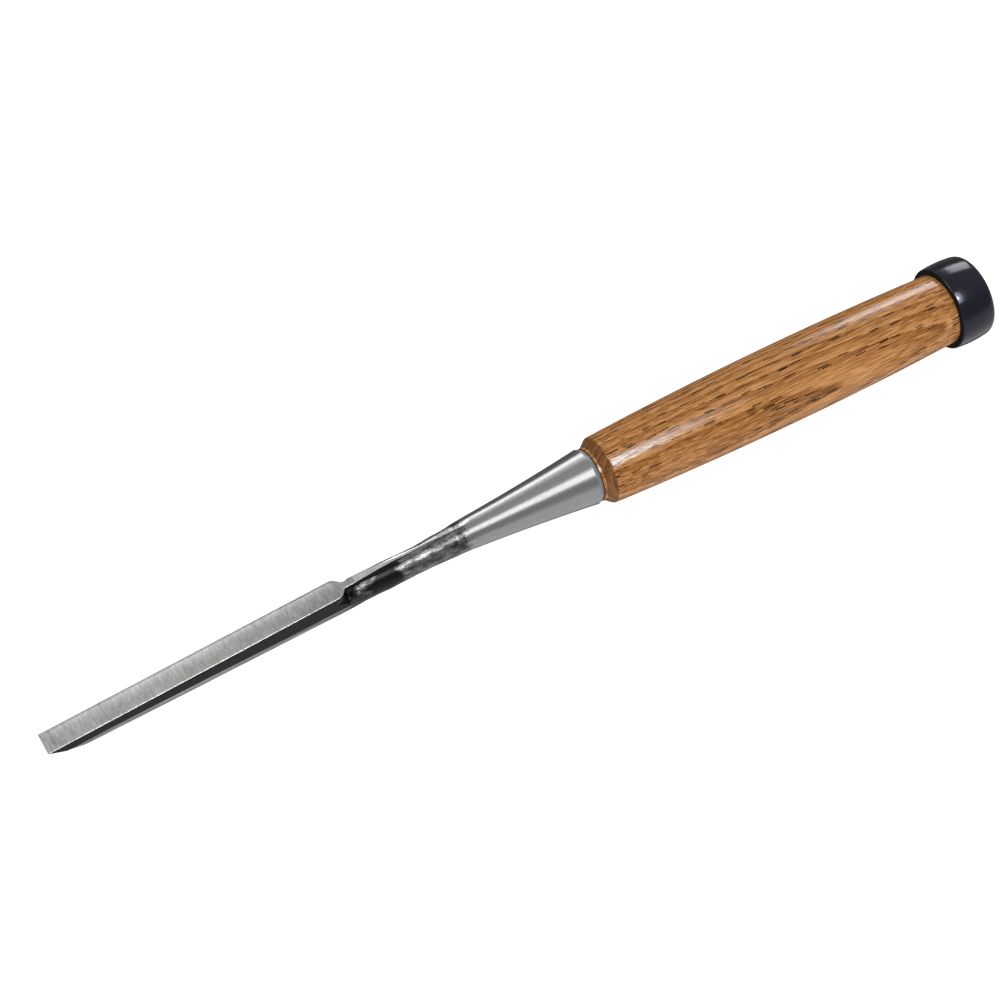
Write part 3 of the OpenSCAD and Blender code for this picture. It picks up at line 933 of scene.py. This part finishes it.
def oak():
    """Lacquered ring-porous oak: growth rings, fibres and dark pore dashes along the grain."""
    constants = {"Roughness": 0.5, "Specular IOR Level": 0.0}
    lacquer = {"Coat Weight": 0.5, "Coat Roughness": 0.03, "Coat IOR": 1.45}
    material, tree, shader = new_material("oak", {**constants, **lacquer})
    fibres = noise_of(tree, (22, 0.24, 0.24), 3, 0.6)
    hairs = noise_of(tree, (10, 0.15, 0.15), 2, 0.6)
    streaks = noise_of(tree, (70, 1.4, 1.4), 3, 0.6)
    rings = growth_rings(tree, fibres, tool_place(tree))
    grain = GRAIN_LEVEL
    for pattern, weight in ((rings, 0.6), (streaks, 0.5), (fibres, 2.2), (hairs, 3.2)):
        grain = math_of(tree, "MULTIPLY_ADD", pattern, weight, grain)
    tone = ramp(tree, grain, [(0.0, OAK_DARK), (0.5, OAK_MIDDLE), (1.0, OAK_LIGHT)])
    vessel = dashes(tree, VESSEL_CELL, VESSEL_REACH, hairs, "EUCLIDEAN")[0]
    tone = blended(tree, math_of(tree, "MULTIPLY", vessel, VESSEL_SHARE), tone, VESSEL_TONE)
    pore, chance, pore_place = dashes(tree, PORE_CELL, PORE_REACH, hairs, "CHEBYCHEV")
    early = math_of(tree, "LESS_THAN", growth_rings(tree, 0.5, pore_place), EARLY_WOOD)
    picked = math_of(tree, "GREATER_THAN", math_of(tree, "MULTIPLY", chance, early), PORE_CHANCE)
    end_grain = ramp(tree, math_of(tree, "ABSOLUTE", facing(tree, "X")), [(0.3, 0.0), (0.6, 1.0)])
    picked = math_of(tree, "MULTIPLY", picked, math_of(tree, "SUBTRACT", 1.0, end_grain))
    pore = math_of(tree, "MULTIPLY", pore, picked)
    tone = blended(tree, pore, tone, PORE_TONE)
    tone = blended(tree, end_grain, tone, blended(tree, 1.0, tone, END_GRAIN_SHADE, "MULTIPLY"))
    ripple = noise_of(tree, (4, 0.8, 0.8), 3, 0.6)
    height = math_of(tree, "MULTIPLY_ADD", pore, -1.0, ripple)
    join(tree, shader, Base_Color=tone, Normal=bumped(tree, height, 0.5, 0.06),
         Coat_Normal=bumped(tree, ripple, 1.0, 0.095))
    return material


def black_steel():
    """Glossy blue-black finish of the hoop, with faint unevenness."""
    constants = {"Specular IOR Level": 0.45, "Specular Tint": (0.80, 0.82, 1.0, 1)}
    material, tree, shader = new_material("black_steel", constants)
    clouds = noise_of(tree, (2.5, 2.5, 2.5), 3, 0.6)
    specks = noise_of(tree, (0.8, 0.8, 0.8), 3, 0.6)
    tone = ramp(tree, clouds, [(0.3, (0.001, 0.001, 0.003)), (0.7, (0.002, 0.002, 0.005))])
    rough = ramp(tree, specks, [(0.3, 0.12), (0.7, 0.17)])
    normal = bumped(tree, clouds, 0.3, 0.1, bumped(tree, specks, 0.2, 0.02))
    join(tree, shader, Base_Color=tone, Roughness=rough, Normal=normal)
    return material


def dull_black():
    """Sooty finish of the hoop's front face."""
    material, tree, shader = new_material("dull_black", {"Specular IOR Level": 0.15})
    specks = noise_of(tree, (0.8, 0.8, 0.8), 3, 0.6)
    tone = ramp(tree, specks, [(0.3, (0.002, 0.002, 0.003)), (0.7, (0.006, 0.006, 0.008))])
    rough = ramp(tree, specks, [(0.3, 0.6), (0.7, 0.8)])
    join(tree, shader, Base_Color=tone, Roughness=rough, Normal=bumped(tree, specks, 0.2, 0.04))
    return material


# Pieces with their finishes

# Numbers of the blade's finishes
DENSE, FILED, STRIP, WORN_AND_SHEENED, TURNED = range(5)

# Limits of the finishes, as parts of a face's normal along X or Z
BEVEL_FACING = -0.5
FRONT_FACING = -0.6
STRIP_FACING = 0.8
GROUND_FACING = 0.4
MOUTH_FACING = 0.3
HOOP_FRONT_FACING = -0.9

# Facets: the least share of their turn, and their reach past the strip's end
FACET_SHARE = 0.6
FACET_REACH = 2.0

# Dense scale on the ridge's walls: where it ends, how raggedly, and the size of the rags
WALL_END = 0.36
WALL_RAGGED = 0.2
WALL_PATCH = 1.5


def finish_faces(piece, materials, pick):
    """Gives a piece its materials; pick names a material's number from a face's middle and normal."""
    for material in materials:
        piece.data.materials.append(material)
    to_tool = TO_ROW.inverted()
    for face in piece.data.polygons:
        middle = to_tool @ face.center
        normal = (to_tool.to_3x3() @ face.normal).normalized()
        face.material_index = pick(middle, normal)


def blade_finish(middle, normal):
    """Filed bevel, facets and strip; dense scale on the blade and the ridge; worn neck with painted sheen on
    top, and a turned end.
    """
    u = along_back(middle.x)
    sunk = (u - STRIP_END) / RIDGE_LEN
    facet_turn = math.atan2(FACET_INSET, FACET_DEPTH)
    on_bevel = u < HEEL_U and normal.z < BEVEL_FACING
    low = u < STRIP_END + FACET_REACH and middle.z < front_z(middle.x) + FACET_DEPTH
    on_facet = low and FRONT_FACING < normal.z < -math.sin(facet_turn * FACET_SHARE)
    on_strip = 0 <= sunk < 1 and abs(middle.y) < strip_half(sunk) and normal.z > STRIP_FACING
    wall_end = WALL_END + WALL_RAGGED * noise.noise(middle / WALL_PATCH)
    wall_half = mixed(RIDGE_FOOT_W / 2, strip_half(sunk), sunk / wall_end)
    on_wall = 0 <= sunk < wall_end and abs(middle.y) < wall_half and normal.z > 0
    if on_bevel or on_facet:
        return FILED
    if on_strip:
        return STRIP
    if on_wall or u < BACK_LEN:
        return DENSE
    return WORN_AND_SHEENED if middle.x < TURNED_FROM else TURNED


def ferrule_finish(middle, normal):
    """Turned flank, and the cut of the mouth."""
    return 1 if normal.x > MOUTH_FACING else 0


def hoop_finish(middle, normal):
    """Gloss outside, dull on the face by the handle."""
    return 1 if normal.x < HOOP_FRONT_FACING else 0


def steel_finish(middle, normal):
    """Ground on the back, its rounded edges and the bevel; dense scale on the sides."""
    return 0 if abs(normal.z) > GROUND_FACING else 1


def one_finish(middle, normal):
    """The same finish all over."""
    return 0


dense = dense_scale()
polished = turned_steel()
facets = filed_iron("filed_facet", (0.58, 0.585, 0.59), DENSE_LIGHT, FACET_SCALE, uneven=0.8)
strip = filed_iron("filed_strip", (0.53, 0.51, 0.512), (0.3, 0.3, 0.3), STRIP_SCALE, uneven=0.0)
blade_finishes = [dense, facets, strip, worn_and_sheened_scale(), polished]
finishes = {
    "blade": (make_blade(), "forged_iron", blade_finishes, blade_finish),
    "edge_steel": (make_edge_steel(), "ground_steel", [ground_steel(), dense], steel_finish),
    "ferrule": (make_ferrule(), "brushed_steel", [polished, mouth_steel()], ferrule_finish),
    "handle": (make_handle(), "oak", [oak()], one_finish),
    "hoop": (make_hoop(), "black_steel", [black_steel(), dull_black()], hoop_finish),
}
for node_name, (piece, slot_name, materials, pick) in finishes.items():
    finish_faces(piece, materials, pick)
    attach(piece, "root")
    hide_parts(node_name)


# Floor, backdrop, lights and camera; sizes are in metres

FLOOR_SIZE = 6.0
FLOOR_GLOW = 0.95
BACKDROP_R = 9.0
BACKDROP_H = 6.0
BACKDROP_FOOT = -0.01
BACKDROP_SIDES = 64
BACKDROP_GLOW = 1.1
STAGE_TONE = (0.35, 0.35, 0.35)

# Soft boxes: how far away they stand, and the sides that two of them share
BOX_DISTANCE = 4.0
CORE_DISTANCE = 3.9
SPARK_DISTANCE = 3.8
KEY_SIDE = (0.21, -0.48, 0.85)
REAR_RIGHT = (0.57, 0.67, 0.49)


def pale_material(name, colour, glow):
    """A plain pale surface with a little light of its own, as a light table has."""
    constants = {"Base Color": (*colour, 1), "Roughness": 0.9, "Specular IOR Level": 0.0,
                 "Emission Color": (1, 1, 1, 1), "Emission Strength": glow}
    return new_material(name, constants)[0]


def make_stage():
    """A pale floor, and a pale wall round it that only closes the picture."""
    half = FLOOR_SIZE / 2
    floor = bpy.data.meshes.new("floor")
    corners = [(-half, -half, 0), (half, -half, 0), (half, half, 0), (-half, half, 0)]
    floor.from_pydata(corners, [], [(0, 1, 2, 3)])
    wall = bpy.data.meshes.new("backdrop")
    count = BACKDROP_SIDES
    angles = [math.tau * i / count for i in range(count)]
    ring = [(BACKDROP_R * math.cos(a), BACKDROP_R * math.sin(a)) for a in angles]
    points = [(x, y, z) for z in (BACKDROP_FOOT, BACKDROP_H) for x, y in ring]
    sides = [(i, (i + 1) % count, count + (i + 1) % count, count + i) for i in range(count)]
    wall.from_pydata(points, [], sides + [tuple(range(count))])
    for data, glow in ((floor, FLOOR_GLOW), (wall, BACKDROP_GLOW)):
        data.materials.append(pale_material(data.name + "_pale", STAGE_TONE, glow))
        stage = bpy.data.objects.new(data.name, data)
        bpy.context.scene.collection.objects.link(stage)
        stage.visible_glossy = False
        if data is wall:
            stage.visible_diffuse = False
            stage.visible_shadow = False


def make_world():
    """Studio round the tool, by the angle from straight up: a dim room, pale above and in front."""
    world = bpy.data.worlds.new("studio")
    bpy.context.scene.world = world
    world.use_nodes = True
    tree = world.node_tree
    direction = add(tree, "SeparateXYZ", {"Vector": add(tree, "TexCoord").outputs["Generated"]})
    angle = math_of(tree, "ARCTAN2", direction.outputs["Y"], direction.outputs["Z"])
    share = math_of(tree, "MULTIPLY_ADD", angle, 1 / math.tau, 0.5)
    front = [(0.235, (0.88, 0.885, 0.90)), (0.26, 0.43), (0.34, 0.42), (0.40, 0.55)]
    above = [(0.52, 0.66), (0.56, 0.62)]
    rear = [(0.62, 0.52), (0.70, 0.6), (0.715, 0.2)]
    tree.links.new(ramp(tree, share, front + above + rear), tree.nodes["Background"].inputs["Color"])


def make_light(name, direction, size, radiance, colour=(1, 1, 1), distance=BOX_DISTANCE):
    """A soft box that faces the tool, seen from it in a direction, as bright as its radiance says."""
    width, height = size
    light = bpy.data.lights.new(name, "AREA")
    light.shape = "RECTANGLE"
    light.size = width
    light.size_y = height
    light.energy = radiance * math.pi * width * height
    light.color = colour
    lamp = bpy.data.objects.new(name, light)
    towards = Vector(direction).normalized()
    side = Vector((1, 0, 0))
    side = (side - towards * side.dot(towards)).normalized()
    lamp.matrix_world = frame_matrix(towards * distance, side, towards.cross(side), towards)
    lamp.visible_camera = False
    bpy.context.scene.collection.objects.link(lamp)
    return lamp


def keep_to(lamp, name):
    """Keeps a soft box to the piece for a node, as black flags beside it do in a studio."""
    lit = bpy.data.collections.new("lit_by_" + lamp.name)
    lit.objects.link(finishes[name][0])
    lamp.light_linking.receiver_collection = lit


# Camera, as fitted to the photograph: direction in degrees, place in millimetres
CAMERA_AZIMUTH = math.radians(-29.31)
CAMERA_ELEVATION = math.radians(52.033)
CAMERA_ROLL = math.radians(-0.973)
CAMERA_PLACE = Vector((-266.32, -448.195, 682.32))
CAMERA_LENS = 86.73
CAMERA_SENSOR = 36


def make_camera():
    """Camera, with its axes from its direction and its roll."""
    reach = math.cos(CAMERA_ELEVATION)
    height = math.sin(CAMERA_ELEVATION)
    back = Vector((math.sin(CAMERA_AZIMUTH) * reach, -math.cos(CAMERA_AZIMUTH) * reach, height))
    level = Vector((math.cos(CAMERA_AZIMUTH), math.sin(CAMERA_AZIMUTH), 0))
    upright = back.cross(level)
    right = level * math.cos(CAMERA_ROLL) + upright * math.sin(CAMERA_ROLL)
    up = upright * math.cos(CAMERA_ROLL) - level * math.sin(CAMERA_ROLL)
    lens = bpy.data.cameras.new("camera")
    lens.lens = CAMERA_LENS
    lens.sensor_width = CAMERA_SENSOR
    camera = bpy.data.objects.new("camera", lens)
    bpy.context.scene.collection.objects.link(camera)
    camera.matrix_world = frame_matrix(CAMERA_PLACE * MM, right, up, back)
    bpy.context.scene.camera = camera


make_stage()
make_world()

# Lights for the whole tool and for single pieces, by size and radiance; the cores only show as highlights
make_light("key_box", (0.13, -0.48, 0.86), (1.65, 1.9), 8.5)
key_core = make_light("key_core", KEY_SIDE, (0.5, 1.3), 35, (0.9, 1.0, 1.08), CORE_DISTANCE)
spark = make_light("spark", KEY_SIDE, (0.45, 0.45), 62, (0.85, 0.94, 1.02), SPARK_DISTANCE)
make_light("rear_right_box", REAR_RIGHT, (1.1, 1.7), 5.5, (1.0, 0.97, 1.0))
rear_core = make_light("rear_core", REAR_RIGHT, (0.9, 1.3), 8, (0.95, 1.0, 1.03), CORE_DISTANCE)
rear_left = make_light("rear_left_box", (0.12, 0.86, 0.5), (1.6, 1.3), 6.5)
crest = make_light("crest_box", (0.18, 0.86, 0.5), (1.6, 1.1), 11)
top = make_light("top_box", (0.08, 0.1, 0.95), (0.9, 1.1), 1.8)
left = make_light("left_box", (-0.85, 0.3, 0.4), (1.5, 1.8), 8, (0.95, 0.96, 1.0))
keep_to(key_core, "handle")
keep_to(spark, "hoop")
keep_to(rear_core, "handle")
keep_to(rear_left, "ferrule")
keep_to(crest, "blade")
keep_to(top, "edge_steel")
keep_to(left, "hoop")
key_core.visible_diffuse = False
rear_core.visible_diffuse = False

make_camera()
bpy.context.scene.view_settings.view_transform = "Standard"
